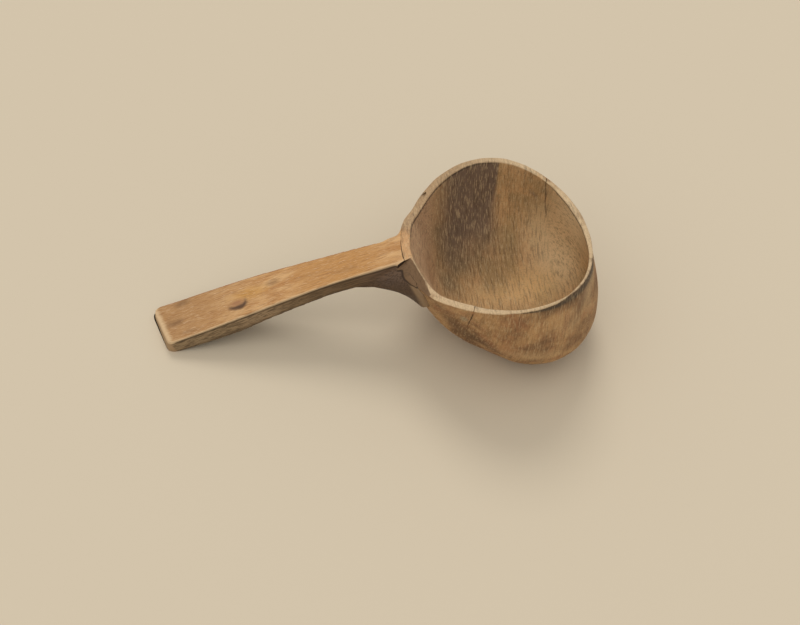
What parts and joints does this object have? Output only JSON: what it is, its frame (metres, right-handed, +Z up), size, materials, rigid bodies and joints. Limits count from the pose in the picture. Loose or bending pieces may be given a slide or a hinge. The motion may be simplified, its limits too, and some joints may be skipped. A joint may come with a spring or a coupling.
{
  "type": "ladle",
  "caption": "Carved wooden ladle with a round open bowl and a flat, sloping, paddle-shaped handle that is let into the bowl's end wall.",
  "frame": {"origin": "on the surface that the ladle rests on, in the middle of the small flat under the bowl", "axes": "+Z up, +X from the handle to the bowl along the ladle, +Y across it"},
  "size_m": [0.2575, 0.1238, 0.0702],
  "materials": {
    "bowl_wood": "worn, dry, unvarnished, reddish-brown outside and dark-stained to ochre inside",
    "handle_wood": "worn, dry, unvarnished, orange-tan with long grain and one knot"
  },
  "bodies": {
    "root": {"bowl": "bowl_wood", "handle": "handle_wood"}
  },
  "joints": []
}
